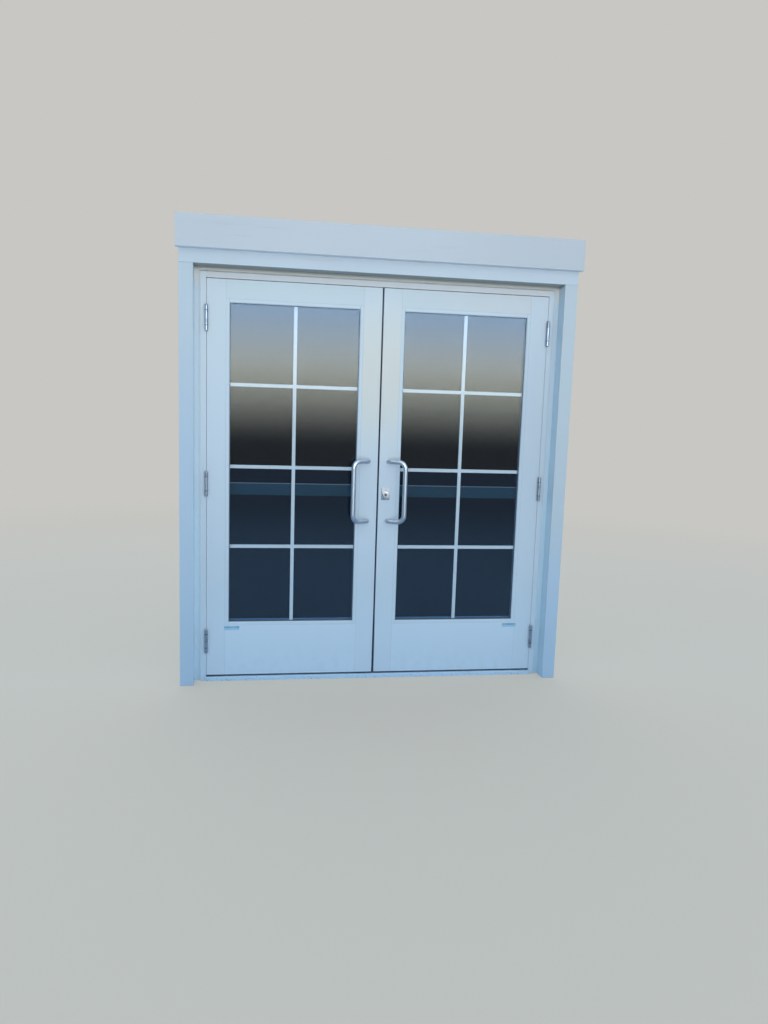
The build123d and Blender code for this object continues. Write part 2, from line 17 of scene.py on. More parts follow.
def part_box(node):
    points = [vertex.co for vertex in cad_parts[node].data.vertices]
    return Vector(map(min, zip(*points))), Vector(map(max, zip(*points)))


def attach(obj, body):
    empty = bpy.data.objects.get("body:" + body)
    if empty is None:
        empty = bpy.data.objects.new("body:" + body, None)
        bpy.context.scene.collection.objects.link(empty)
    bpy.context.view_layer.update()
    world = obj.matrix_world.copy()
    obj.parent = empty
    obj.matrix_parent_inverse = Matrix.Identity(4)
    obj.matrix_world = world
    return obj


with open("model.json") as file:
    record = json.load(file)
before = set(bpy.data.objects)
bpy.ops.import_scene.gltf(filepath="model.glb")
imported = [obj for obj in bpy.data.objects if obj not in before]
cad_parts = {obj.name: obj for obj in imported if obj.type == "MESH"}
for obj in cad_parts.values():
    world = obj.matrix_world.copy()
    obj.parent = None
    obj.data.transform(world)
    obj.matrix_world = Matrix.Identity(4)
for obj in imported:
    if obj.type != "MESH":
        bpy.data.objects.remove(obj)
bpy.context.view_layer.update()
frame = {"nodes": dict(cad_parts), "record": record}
nodes = frame["nodes"]

# %% [markdown]
# ## Camera
#
# A camera is a point, three turns and a lens. These were worked out from straight edges of the
# doors whose real sizes are known, so a render lies over the photograph line for line. The turns
# are built up as a right, an up and a forward direction, because that is easier to read than
# three angles about moving axes.

# %% Stand the camera where the photograph was taken
camera_place = Vector((-0.5918, -4.0710, 1.4800))
turn_right = math.radians(8.803)
tilt_down = math.radians(7.488)
roll_over = math.radians(1.814)
lens_mm = 26.66
film_mm = 36.0

forward = Vector(
    (
        math.sin(turn_right) * math.cos(tilt_down),
        math.cos(turn_right) * math.cos(tilt_down),
        -math.sin(tilt_down),
    )
)
level_right = Vector((math.cos(turn_right), -math.sin(turn_right), 0))
level_up = level_right.cross(forward)
right = level_right * math.cos(roll_over) + level_up * math.sin(roll_over)
up = level_up * math.cos(roll_over) - level_right * math.sin(roll_over)
camera = bpy.data.objects.new("camera", bpy.data.cameras.new("camera"))
camera.data.lens = lens_mm
camera.data.sensor_width = film_mm
camera.matrix_world = Matrix.Translation(camera_place) @ Matrix((right, up, -forward)).transposed().to_4x4()
bpy.context.scene.collection.objects.link(camera)
bpy.context.scene.camera = camera
print("camera looks along", [round(value, 3) for value in forward])

# %% [markdown]
# ## Shader sums
#
# A finish is mixed from many small nodes. Typing each one out hides what it does, so two small
# classes help. A Wire is the output of a node, and Python's own signs work on it: height * 2 +
# 0.1 adds the Math nodes for that sum. A Paint is a material, and its node method makes any other
# node from its type, its settings and what feeds it.


# %% Wires that can be added and multiplied
class Wire:
    """The output of a node, ready for sums with numbers and with other wires."""

    def __init__(self, paint, socket):
        self.paint = paint
        self.socket = socket

    def maths(self, operation, first, second):
        return self.paint.node("ShaderNodeMath", {"operation": operation}, {0: first, 1: second})

    def __add__(self, other):
        return self.maths("ADD", self, other)

    def __radd__(self, other):
        return self.maths("ADD", other, self)

    def __sub__(self, other):
        return self.maths("SUBTRACT", self, other)

    def __rsub__(self, other):
        return self.maths("SUBTRACT", other, self)

    def __mul__(self, other):
        return self.maths("MULTIPLY", self, other)

    def __rmul__(self, other):
        return self.maths("MULTIPLY", other, self)

    def __pow__(self, other):
        return self.maths("POWER", self, other)


print("signs that a wire knows: + - * **")


# %% Paints that make their own nodes
class Paint:
    """A node tree with short ways to add nodes, noise, fades and mixes of colours."""

    def __init__(self, tree):
        self.tree = tree
        self.coordinates = None

    def feed(self, socket, value):
        """Gives a socket a number or colour, or links a wire to it."""
        if isinstance(value, Wire):
            self.tree.links.new(value.socket, socket)
        else:
            socket.default_value = value

    def node(self, kind, settings=(), sockets=(), output=0):
        """Adds a node, sets it up, feeds its sockets and gives one of its outputs."""
        made = self.tree.nodes.new(kind)
        for name, value in dict(settings).items():
            setattr(made, name, value)
        for name, value in dict(sockets).items():
            self.feed(made.inputs[name], value)
        return Wire(self, made.outputs[output])

    def place(self):
        """Where a point of the piece is, in metres in the frame of the doors."""
        if self.coordinates is None:
            self.coordinates = self.node("ShaderNodeTexCoord", output="Object")
        return self.coordinates

    def axis(self, letter):
        """One coordinate of that place."""
        return self.node("ShaderNodeSeparateXYZ", (), {0: self.place()}, letter)

    def noise(self, scale, detail=3.0, stretch=(1, 1, 1), roughness=0.5):
        """Cloudy values round a half, with about scale clouds to the metre."""
        spread = self.node("ShaderNodeMapping", (), {"Vector": self.place(), "Scale": stretch})
        sockets = {"Vector": spread, "Scale": scale, "Detail": detail, "Roughness": roughness}
        return self.node("ShaderNodeTexNoise", (), sockets)

    def fade(self, value, start, end):
        """Rises smoothly from 0 at start to 1 at end."""
        sockets = {"Value": value, "From Min": start, "From Max": end}
        return self.node("ShaderNodeMapRange", {"interpolation_type": "SMOOTHSTEP"}, sockets)

    def ramp(self, letter, start, end):
        """The same along one axis of the doors."""
        return self.fade(self.axis(letter), start, end)

    def mix(self, share, first, second):
        """The first colour, with a share from 0 to 1 of the second."""
        return self.node("ShaderNodeMix", {"data_type": "RGBA"}, {0: share, 6: first, 7: second}, 2)

    def show(self, surface):
        """Makes a wire the surface of the material."""
        self.feed(self.tree.nodes["Material Output"].inputs["Surface"], surface)


print("a paint can:", [name for name in vars(Paint) if not name.startswith("_")])

# %% [markdown]
# ## Colours and finishes
#
# A colour is easiest to read off a chart as three numbers up to 255, but shaders work with linear
# light, so one function turns the one into the other. Another makes a material with its
# Principled shader and its paint, because every finish here begins with them. Fine relief is a
# Bump node that feeds Normal.

# %% Turn colours and begin finishes
def chart(red, green, blue):
    """A colour off a chart, 0 to 255 each, as the linear colour that shaders work with."""
    shares = [value / 255 for value in (red, green, blue)]
    return (*[s / 12.92 if s <= 0.04045 else ((s + 0.055) / 1.055) ** 2.4 for s in shares], 1.0)


def new_material(name):
    """A material and its paint."""
    material = bpy.data.materials.new(name)
    material.use_nodes = True
    return material, Paint(material.node_tree)


def new_finish(name, colour, roughness, **shine):
    """A material with a Principled shader, its paint and the shader itself."""
    material, paint = new_material(name)
    shader = material.node_tree.nodes["Principled BSDF"]
    shader.inputs["Base Color"].default_value = colour
    shader.inputs["Roughness"].default_value = roughness
    for socket, value in shine.items():
        shader.inputs[socket.replace("_", " ").title().replace("Ior", "IOR")].default_value = value
    return material, paint, shader


def roughen(paint, shader, height, depth):
    """Turns a pattern of heights, in metres at its full depth, into a bumpy surface."""
    bump = paint.node("ShaderNodeBump", (), {"Strength": 1.0, "Distance": depth, "Height": height}, "Normal")
    paint.feed(shader.inputs["Normal"], bump)


print("white off the chart:", [round(value, 3) for value in chart(206, 217, 226)])

# %% [markdown]
# ## Floor and world
#
# A product picture needs a plain floor and soft light. The floor is pale, and further off it
# fades into the colour of the world, so no horizon cuts the picture. The Light Path node tells
# who is looking, and so each can be given its own tone. The camera sees a warm pale grey, against
# which the cool white doors stand out. Matt surfaces get blue light from the sky and a cool glow
# from the floor. Metal and glass mirror a darker grey, which gives them contrast. Behind real
# glass by day there is a dark room, so where the camera looks through a pane the floor and the
# world turn dark, while the doors themselves are left as they are.

# %% Tell who is looking
pale_backdrop = chart(200, 199, 195)
mirrored_backdrop = chart(112, 124, 138)
dark_room = chart(9, 14, 22)


class Looks:
    """Who is looking: a 1 for rays of the camera, of mirrors, or of the camera through a pane."""

    def __init__(self, paint):
        self.camera = paint.node("ShaderNodeLightPath", output="Is Camera Ray")
        glossy = paint.node("ShaderNodeLightPath", output="Is Glossy Ray")
        self.mirror = glossy + paint.node("ShaderNodeLightPath", output="Is Transmission Ray")
        passed = paint.node("ShaderNodeLightPath", output="Transparent Depth")
        past_pane = paint.node("ShaderNodeMath", {"operation": "GREATER_THAN"}, {0: passed, 1: 0.5})
        self.past_pane = past_pane * self.camera

    def backdrop(self, paint):
        """What the camera and mirrors see behind the doors, dark where it is seen through a pane."""
        tone = paint.mix(self.mirror, pale_backdrop, mirrored_backdrop)
        return paint.mix(self.past_pane, tone, dark_room)


print("backdrop:", [round(value, 3) for value in pale_backdrop])

# %% Lay the floor
floor_radius = 60.0
floor_drop = 0.0006
fade_start, fade_end = 2.2, 9.0
near_glow = 0.42
warm_floor = chart(228, 214, 196)
cool_floor = chart(180, 213, 240)


def deselect():
    """Leaves nothing selected, because an operator acts on all that is."""
    bpy.ops.object.select_all(action="DESELECT")


deselect()
bpy.ops.mesh.primitive_circle_add(
    radius=floor_radius, vertices=96, fill_type="NGON", location=(0, 0, -floor_drop)
)
floor = bpy.context.object
floor.name = "floor"
bpy.ops.object.transform_apply(location=True, rotation=True, scale=True)
floor_finish, floor_paint, floor_shader = new_finish("pale_floor", cool_floor, 0.85)
looks = Looks(floor_paint)
floor_tone = floor_paint.mix(looks.camera, cool_floor, warm_floor)
floor_paint.feed(floor_shader.inputs["Base Color"], floor_tone)
place = {0: floor_paint.place()}
distance = floor_paint.node("ShaderNodeVectorMath", {"operation": "LENGTH"}, place, "Value")
far = floor_paint.fade(distance, fade_start, fade_end) * (1 - near_glow) + near_glow
far = far * (looks.camera + looks.mirror)
glow = floor_paint.node("ShaderNodeEmission", (), {"Color": looks.backdrop(floor_paint)})
cover = floor_paint.node("ShaderNodeMath", {"operation": "MAXIMUM"}, {0: far, 1: looks.past_pane})
lit_floor = Wire(floor_paint, floor_shader.outputs[0])
floor_mix = floor_paint.node("ShaderNodeMixShader", (), {0: cover, 1: lit_floor, 2: glow})
floor_paint.show(floor_mix)
floor.data.materials.append(floor_finish)
print("floor radius:", floor_radius, "m")

# %% Set the world
sky_light = chart(194, 226, 249)
world = bpy.data.worlds.new("studio")
world.use_nodes = True
bpy.context.scene.world = world
sky = Paint(world.node_tree)
background = world.node_tree.nodes["Background"]
looks = Looks(sky)
sky.feed(background.inputs["Color"], sky.mix(looks.camera + looks.mirror, sky_light, looks.backdrop(sky)))
bpy.context.scene.view_settings.view_transform = "Standard"
print("sky light:", [round(value, 3) for value in sky_light])

# %% [markdown]
# ## Lights
#
# Three soft lights copy a door in the shade. A big panel stands behind the camera as the open sky
# does. It is a glowing plane and not a light, because a plane can fade from a dim foot to a bright
# top: in the glass it shows as a bright upper half that melts into a dark lower half. Mirrors see
# it brighter than matt paint does, as real sky is much brighter than what stands in the shade. A
# wide warm light lies on the floor in front and shines up, so that the undersides of the trim
# aren't black. A weaker panel stands behind the doors for the inner side. A card overhead is seen
# by metal and glass alone, and puts a bright line along the top of every bar.

# %% Hang the light panels
side_fade = 1.6
panel_dimmest = 0.04
dusk_start, dusk_end = 0.9, 2.5
low_sky = chart(240, 228, 204)
high_sky = chart(198, 224, 252)
sky_tone = chart(242, 241, 242)


def light_panel(name, place, width, height, strength, colour, dark_edge, bright_edge, mirror_gain):
    """An upright glowing plane that faces the doors and is dim below dark_edge and full above bright_edge."""
    deselect()
    bpy.ops.mesh.primitive_plane_add(size=1, location=place, rotation=(math.radians(90), 0, 0))
    panel = bpy.context.object
    panel.name = name
    panel.scale = (width, height, 1)
    bpy.ops.object.transform_apply(location=True, rotation=True, scale=True)
    material, paint = new_material(name + "_glow")
    rise = paint.ramp("Z", dark_edge, bright_edge)
    left_end, right_end = place[0] - width / 2, place[0] + width / 2
    sides = paint.ramp("X", left_end, left_end + side_fade)
    sides = sides * paint.ramp("X", right_end, right_end - side_fade)
    mirrored = paint.node("ShaderNodeLightPath", output="Is Glossy Ray")
    power = (panel_dimmest + (1 - panel_dimmest) * rise) * sides * strength
    power = power * (1 + mirrored * (mirror_gain - 1))
    dusk = paint.mix(paint.ramp("Z", dark_edge + dusk_start, dark_edge + dusk_end), low_sky, high_sky)
    tone = paint.mix(mirrored, colour, dusk)
    glow = paint.node("ShaderNodeEmission", (), {"Color": tone, "Strength": power})
    paint.show(glow)
    panel.data.materials.append(material)
    panel.visible_camera = False
    print(name, "is", width, "by", height, "m")


light_panel(
    "front_panel", (1.6, -7.5, 3.4), width=14.0, height=5.6, strength=0.95, colour=sky_tone,
    dark_edge=0.9, bright_edge=2.4, mirror_gain=6.0,
)
light_panel(
    "back_panel", (-0.5, 7.5, 3.4), width=10.0, height=5.2, strength=1.9, colour=chart(240, 243, 248),
    dark_edge=1.2, bright_edge=3.6, mirror_gain=1.0,
)

# %% Hang a card overhead and lay a light on the floor
deselect()
bpy.ops.mesh.primitive_plane_add(size=12, location=(0, -1, 6.5))
ceiling = bpy.context.object
ceiling.name = "ceiling_card"
bpy.ops.object.transform_apply(location=True, rotation=True, scale=True)
ceiling_glow, ceiling_paint = new_material("ceiling_glow")
overhead = ceiling_paint.node("ShaderNodeEmission", (), {"Color": sky_tone, "Strength": 1.5})
ceiling_paint.show(overhead)
ceiling.data.materials.append(ceiling_glow)
ceiling.visible_camera = False
ceiling.visible_diffuse = False

floor_light = bpy.data.objects.new("floor_light", bpy.data.lights.new("floor_light", "AREA"))
floor_light.data.shape = "RECTANGLE"
floor_light.data.size = 6.0
floor_light.data.size_y = 2.6
floor_light.data.energy = 135
floor_light.data.color = chart(255, 238, 210)[:3]
shining_up = Matrix.Rotation(math.pi, 4, "X")
floor_light.matrix_world = Matrix.Translation((0.2, -4.2, 0.02)) @ shining_up
floor_light.visible_camera = False
floor_light.visible_glossy = False
bpy.context.scene.collection.objects.link(floor_light)
print("floor light:", floor_light.data.energy, "watts, shining", shining_up @ Vector((0, 0, -1)))

# %% [markdown]
# ## White paint
#
# Almost everything here is white. The leaves and the frame are aluminium with a powder coat,
# which is satin and has a very fine orange peel. The boards round them are painted trim with a
# faint drag of the brush along each board, and rain has left pale brown marks on them. Low down,
# splashes have dried. One function makes every white paint, because only the colour, the
# drag, the roughness and the rain differ. Each tone is a pattern of the place on the door in
# metres, so it stays on its piece when a leaf swings.

# %% A function for white paint
coat_white = chart(220, 230, 236)
board_white = chart(215, 224, 229)
splash_grey = chart(150, 152, 152)
rain_brown = chart(176, 172, 160)
splash_height = 0.26
peel_depth = 0.00035


def white_finish(name, white, *shades, drag=(1, 1, 0.35), roughness=0.32, rain=0.05):
    """White paint with slow drifts of tone, rain marks, splashes, shades and a fine surface."""
    material, paint, shader = new_finish(name, white, roughness)
    drift = paint.fade(paint.noise(1.7, 4), 0.35, 0.7)
    tone = paint.mix(drift * 0.22, white, [value * 0.9 for value in white[:3]] + [1.0])
    marks = paint.fade(paint.noise(9, 6, drag, 0.62), 0.55, 0.8) * rain
    tone = paint.mix(marks, tone, rain_brown)
    splash = paint.ramp("Z", splash_height, 0.0) * paint.fade(paint.noise(26, 5, (1, 1, 0.6)), 0.4, 0.72)
    tone = paint.mix(splash * 0.07, tone, splash_grey)
    for shade in shades:
        tone = shade(paint, tone)
    paint.feed(shader.inputs["Base Color"], tone)
    paint.feed(shader.inputs["Roughness"], roughness + paint.noise(40, 3) * 0.12 + splash * 0.2)
    peel = paint.noise(420, 2) * 0.35 + paint.noise(60, 4, drag) * 0.65
    roughen(paint, shader, peel, peel_depth)
    return material


print("powder coat:", [round(value, 3) for value in coat_white], "splashes up to", splash_height, "m")

# %% [markdown]
# ## Shades
#
# In open shade the same paint isn't the same white everywhere. It is yellower high up, bluer near
# the foot and greyer towards the right, where less light comes in. A light for each of these
# would be hard to balance, so this light and shade are painted into the colour, which changes
# slowly. A shade is a function that mixes another colour into a tone where it belongs, and a
# finish takes as many shades as it needs.

# %% Slow changes of tone
just_left, just_right = -0.01, 0.01
high_coat = chart(217, 226, 229)
low_coat = chart(228, 240, 247)
right_coat = chart(204, 214, 221)
low_board = chart(198, 215, 228)
right_board = chart(205, 214, 217)


def coat_shade(paint, tone):
    """Painted light: yellower towards the top, greyer up the right side and bluer at the foot."""
    tone = paint.mix(paint.ramp("Z", 1.3, 2.0), tone, high_coat)
    right_side = paint.ramp("X", 0.55, 0.85) * paint.ramp("Z", 0.4, 1.6)
    tone = paint.mix(right_side * paint.ramp("Z", 2.4, 1.7), tone, right_coat)
    return paint.mix(paint.ramp("Z", 0.55, 0.2) * 0.6, tone, low_coat)


def board_shade(paint, tone):
    """Painted shade: bluer below the top of a side board, and less so on the right."""
    tone = paint.mix(paint.ramp("Z", 2.1, 1.2) * 0.9, tone, low_board)
    right_side = paint.ramp("X", just_left, just_right) * paint.ramp("Z", 0.5, 1.0)
    return paint.mix(right_side, tone, right_board)


def towards_right(colour, reach):
    """A painted shade that turns into a colour between the middle of the doors and a place on the right."""
    return lambda paint, tone: paint.mix(paint.ramp("X", 0.0, reach), tone, colour)


for shade_name, shade_tone in (("top", high_coat), ("foot", low_coat)):
    print("coat at the", shade_name, [round(value, 3) for value in shade_tone[:3]])

# %% [markdown]
# Painted shade and joints are shades too. Painted shade darkens the lowest edge of the head casing
# and the trim close under it, where the casing shades them. Painted shade runs along the meeting
# edges, wider near the foot, to darken the gap between the leaves. Where a rail or a stop meets a
# stile, the joint is a faint grey line. A line like that is thinner than a pixel, so it is drawn
# as tone and not cut into the metal. The places are read from the model's boxes.

# %% Joint lines and dirt
joint_grey = chart(112, 128, 140)
joint_width = 0.0016
joint_share = 0.45
# Painted shade: a dark tone right under the head casing, where the casing shades what lies below.
under_casing_shade = chart(118, 120, 112)
# Painted shade along the meeting gap, and painted warm light on the upper half of the lock stiles.
gap_shade = chart(34, 52, 78)
gap_shade_reach = 0.0007
gap_shade_foot = 0.0018
painted_warm_light = chart(229, 227, 217)
meeting_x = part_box("right_lock_stile")[0].x
casing_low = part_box("head_casing")[0].z


def absolute(value):
    """A wire without its sign."""
    return value.paint.node("ShaderNodeMath", {"operation": "ABSOLUTE"}, {0: value})


def joint_lines(node, letters):
    """A shade with faint lines where a piece's sides meet the stiles, for both leaves at once."""

    def shade(paint, tone):
        lines = 0
        for letter in letters:
            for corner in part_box(node):
                edge = abs(getattr(corner, letter.lower()))
                lines = lines + paint.fade(absolute(absolute(paint.axis(letter)) - edge), joint_width, 0.0)
        return paint.mix(lines * joint_share, tone, joint_grey)

    return shade


def casing_shade(paint, tone):
    """Painted shade on the underside and lowest edge of the head casing."""
    return paint.mix(paint.ramp("Z", casing_low + 0.0015, casing_low + 0.0003) * 0.7, tone, under_casing_shade)


def meeting_shade(paint, tone):
    """Painted warm light in the upper half, and painted shade along the meeting gap, wider at the foot."""
    warmth = paint.ramp("Z", 1.15, 1.6) * paint.ramp("Z", 2.2, 1.75)
    tone = paint.mix(warmth, tone, painted_warm_light)
    reach = meeting_x + gap_shade_reach + gap_shade_foot * paint.ramp("Z", 0.45, 0.15)
    return paint.mix(paint.fade(absolute(paint.axis("X")) - reach, 0.0003, 0.0) * 0.8, tone, gap_shade)


print("grime reaches", gap_shade_reach * 1000, "mm in, and", gap_shade_foot * 1000, "mm more at the foot")

# %% [markdown]
# The angle trim in the step between the casing and the frame is seen from three sides at once.
# Its legs that look sideways, forward and down catch different light, and that light and shade
# are painted into its colour by where a point is: on the left or the right, on the front face, or
# close under the head casing.

# %% Shade of the angle trim
trim_wall = 0.005
trim_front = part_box("return_trim")[1].y - trim_wall
trim_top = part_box("return_trim")[1].z - trim_wall
# Painted light and shade: the left return is lit, the right one shaded, and the forward faces are lit.
lit_left_return = chart(238, 247, 255)
shaded_right_return = chart(202, 221, 232)
high_white = chart(230, 240, 245)
low_white = chart(228, 248, 255)
warm_white = chart(255, 252, 244)


def trim_shade(paint, tone):
    """Painted light: cooler sides, a lit left side and lit front faces; painted shade under the head casing.
    """
    sides = paint.ramp("Z", trim_top - 0.035, trim_top - 0.12)
    side_tone = paint.mix(paint.ramp("X", just_left, just_right), lit_left_return, shaded_right_return)
    tone = paint.mix(sides * 0.75, tone, side_tone)
    forward_face = paint.ramp("Y", trim_front - 0.003, trim_front - 0.0002)
    side_white = paint.mix(paint.ramp("Z", 1.9, 0.4), high_white, low_white)
    tone = paint.mix(forward_face * 0.9, tone, paint.mix(sides, warm_white, side_white))
    return paint.mix(paint.ramp("Z", trim_top - 0.018, trim_top - 0.001) * 0.75, tone, under_casing_shade)


print("trim front at", round(trim_front, 4), "and top at", round(trim_top, 4))

# %% [markdown]
# With the paint and its shades at hand, each white finish is one line. The coat's own values are
# the ones that aren't said. A board has them as a set, because the drag has to follow the board's
# length.

# %% Mix the white finishes
upright_board = {"drag": (3.2, 3.2, 0.22), "roughness": 0.5, "rain": 0.16}
board_across = {"drag": (0.22, 3.2, 3.2), "roughness": 0.5, "rain": 0.24}
weathered_board = {"drag": (0.22, 3.2, 3.2), "roughness": 0.55, "rain": 0.3}
bar_look = {"drag": (1, 1, 1), "roughness": 0.35, "rain": 0.0}
# Painted shade: the header and the top rail turn greyer towards the right.
header_grey = towards_right(chart(206, 209, 212), 0.9)
rail_grey = towards_right(chart(215, 218, 218), 0.7)
rail_lines = joint_lines("right_top_rail", "X")
stop_lines = joint_lines("right_outer_stops", "XZ")
finishes = {
    "white_aluminium": white_finish("powder_coat", coat_white, coat_shade),
    "white_bars": white_finish("bar_coat", chart(228, 238, 242), **bar_look),
    "white_trim": white_finish("board_paint_upright", chart(209, 219, 224), board_shade, **upright_board),
}
casing_paint = white_finish("board_paint_across", board_white, casing_shade, **board_across)
header_paint = white_finish("board_paint_weathered", chart(214, 217, 220), header_grey, **weathered_board)
trim_paint = white_finish("trim_paint", board_white, trim_shade, **upright_board)
top_coat = white_finish("top_rail_coat", chart(215, 225, 226), rail_grey, rail_lines)
foot_coat = white_finish("foot_rail_coat", low_coat, rail_lines)
stop_coat = white_finish("stop_coat", coat_white, coat_shade, stop_lines)
stile_coat = white_finish("stile_coat", coat_white, coat_shade, meeting_shade)
head_coat = white_finish("head_coat", chart(220, 220, 217))
print("white slots ready:", sorted(finishes))

# %% [markdown]
# ## Threshold
#
# The threshold has the same white coat, but feet and trolleys have been over it. Its nose is
# scuffed to dull metal in short strokes along its length, and grit lies in the corners.

# %% Scuffed threshold
sill_white = chart(214, 236, 250)
bare_metal = chart(132, 142, 152)
sill_grit = chart(92, 88, 82)
sill_finish, sill_paint, sill_shader = new_finish("scuffed_coat", sill_white, 0.4)
sill_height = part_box("threshold")[1].z
scuffs = sill_paint.fade(sill_paint.noise(30, 6, (0.5, 3, 3), 0.7), 0.56, 0.72)
grit = sill_paint.fade(sill_paint.noise(130, 4), 0.55, 0.75)
low_part = sill_paint.ramp("Z", 0.02, 0.0)
sill_tone = sill_paint.mix(scuffs * 0.45, sill_white, bare_metal)
sill_tone = sill_paint.mix(grit * (0.25 + 0.5 * low_part), sill_tone, sill_grit)
sill_paint.feed(sill_shader.inputs["Base Color"], sill_tone)
sill_paint.feed(sill_shader.inputs["Roughness"], 0.38 + 0.25 * scuffs)
roughen(sill_paint, sill_shader, scuffs * 0.5 + sill_paint.noise(300, 2) * 0.5, 0.0002)
finishes["sill_aluminium"] = sill_finish
print("threshold top at", round(sill_height, 4))

# %% [markdown]
# ## Glass
#
# The unit is two panes with air between them. The outer pane is clear: it only adds a reflection,
# a twenty-fifth of the light head-on and nearly all of it at a glancing angle. The inner pane is
# nearly black, and stands for the dark room that is seen through real glass by day. Real glass
# would show the back of the touch bar's rail as a faint band with a light upper edge. The dark
# pane hides that, so it carries the band itself, at the height of the rail. A thin paler band
# along its foot stands for the lower stop, which mirrors there. Behind the white bars, where
# nothing of the room would show, the pane is left clear, so the bars are seen from indoors too.

# %% Clear outer pane
head_on_gleam = 0.04
coating_blue = chart(216, 232, 246)
clear_finish, clear_paint, clear_shader = new_finish("clear_pane", chart(225, 236, 244), 0.02)
clear_paint.tree.nodes.remove(clear_shader)
mirror = clear_paint.node("ShaderNodeBsdfAnisotropic", (), {"Color": coating_blue, "Roughness": 0.015})
through = clear_paint.node("ShaderNodeBsdfTransparent", (), {"Color": (0.985, 0.99, 0.993, 1)})
tilt = clear_paint.node("ShaderNodeLayerWeight", (), {"Blend": 0.5}, "Facing")
gleam = head_on_gleam + (1 - head_on_gleam) * tilt**5
pane_mix = clear_paint.node("ShaderNodeMixShader", (), {0: gleam, 1: through, 2: mirror})
clear_paint.show(pane_mix)
finishes["clear_glass"] = clear_finish
print("share of light the outer pane mirrors head-on:", head_on_gleam)

# %% Dark inner pane
pane_alpha = 0.93
dark_navy = chart(8, 17, 30)
rail_blue = chart(42, 71, 88)
rail_lit_top = chart(120, 134, 140)
stop_reflection_blue = chart(92, 138, 182)
dark_finish, dark_paint, dark_shader = new_finish(
    "dark_pane", dark_navy, 0.04, alpha=pane_alpha, specular_ior_level=0.4, specular_tint=coating_blue
)
room = dark_paint.fade(dark_paint.noise(2.2, 4, (1, 1, 0.8)), 0.3, 0.75)
room_tone = dark_paint.mix(room * 0.7, dark_navy, chart(17, 26, 38))
rail_low, rail_high = (corner.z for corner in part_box("left_exit_rail"))
pane_height = dark_paint.axis("Z")
below_top = dark_paint.fade(pane_height, rail_high + 0.001, rail_high - 0.001)
rail_band = below_top * dark_paint.fade(pane_height, rail_low - 0.004, rail_low + 0.004)
room_tone = dark_paint.mix(rail_band, room_tone, rail_blue)
# Painted highlight: the lit top edge of the rail, as it shows through the glass.
lit_top_line = below_top * dark_paint.fade(pane_height, rail_high - 0.005, rail_high - 0.003)
room_tone = dark_paint.mix(lit_top_line, room_tone, rail_lit_top)
# Painted reflection: a paler band along the foot of the glass where the lower stop mirrors.
stop_width = 0.019
glass_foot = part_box("right_outer_stops")[0].z + stop_width
stop_reflection_band = dark_paint.fade(pane_height, glass_foot + 0.0125, glass_foot + 0.0095)
room_tone = dark_paint.mix(stop_reflection_band, room_tone, stop_reflection_blue)
dark_paint.feed(dark_shader.inputs["Base Color"], room_tone)
print("rail band:", round(rail_low, 3), "to", round(rail_high, 3), "foot of the glass:", round(glass_foot, 3))

# %% Leave the dark pane clear behind the bars
bar_pitch = 0.429
strip_half = 0.008
pane_low, pane_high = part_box("right_inner_pane")
pane_middle = (pane_low + pane_high) / 2
from_bar = [absolute(absolute(dark_paint.axis("X")) - pane_middle.x)]
from_bar += [absolute(pane_height - (pane_middle.z + step * bar_pitch)) for step in (-1, 0, 1)]
darkness = pane_alpha
for distance in from_bar:
    darkness = darkness * dark_paint.fade(distance, strip_half, strip_half + 0.001)
dark_paint.feed(dark_shader.inputs["Alpha"], darkness)
finishes["dark_glass"] = dark_finish
print("clear strips:", len(from_bar), "each", 2000 * strip_half, "mm wide")

# %% [markdown]
# ## Seals and plastics
#
# Rubber seals are near black and matt, with pale dust on them. The spacer between the panes is a
# grey bar with a dull sheen. The guides inside the stiles are plain grey plastic. All of them are
# dull and dusty, so one function serves.

# %% Rubber, spacer and guide plastic
def dusty_finish(name, colour, dust, share, roughness):
    """A matt dark material with pale dust in patches and a fine grain."""
    material, paint, shader = new_finish(name, colour, roughness)
    patches = paint.fade(paint.noise(22, 5), 0.45, 0.8)
    specks = paint.fade(paint.noise(260, 3), 0.5, 0.8)
    cover = (patches * 0.6 + specks * 0.4) * share
    paint.feed(shader.inputs["Base Color"], paint.mix(cover, colour, dust))
    paint.feed(shader.inputs["Roughness"], roughness + 0.15 * cover)
    roughen(paint, shader, paint.noise(700, 2), 0.0001)
    return material


matt_things = {
    "black_seal": ("black_rubber", chart(16, 40, 76), chart(84, 108, 138), 0.18, 0.7),
    "grey_seal": ("grey_pile", chart(120, 126, 132), chart(160, 160, 158), 0.5, 0.85),
    "spacer": ("dull_spacer", chart(98, 116, 136), chart(132, 150, 168), 0.5, 0.42),
    "guide_plastic": ("guide_nylon", chart(70, 73, 77), chart(120, 120, 118), 0.3, 0.5),
}
for slot, look in matt_things.items():
    finishes[slot] = dusty_finish(*look)
print("matt finishes ready:", len(finishes))

# %% [markdown]
# ## Metals
#
# The pulls, hinges, lock and exit devices are brushed metal. Brushing is noise stretched far
# along one direction: it changes the roughness a little and raises very fine grooves.
# Fingerprints and weather dull it in soft patches. Each metal has its own colour, direction and
# wear, so they stand in a table. The plate of the lock also has a shade: a painted reflection
# along its top, and painted shade along its foot and the edge at the gap.

# %% Brushed metals
groove_depth = 0.00006


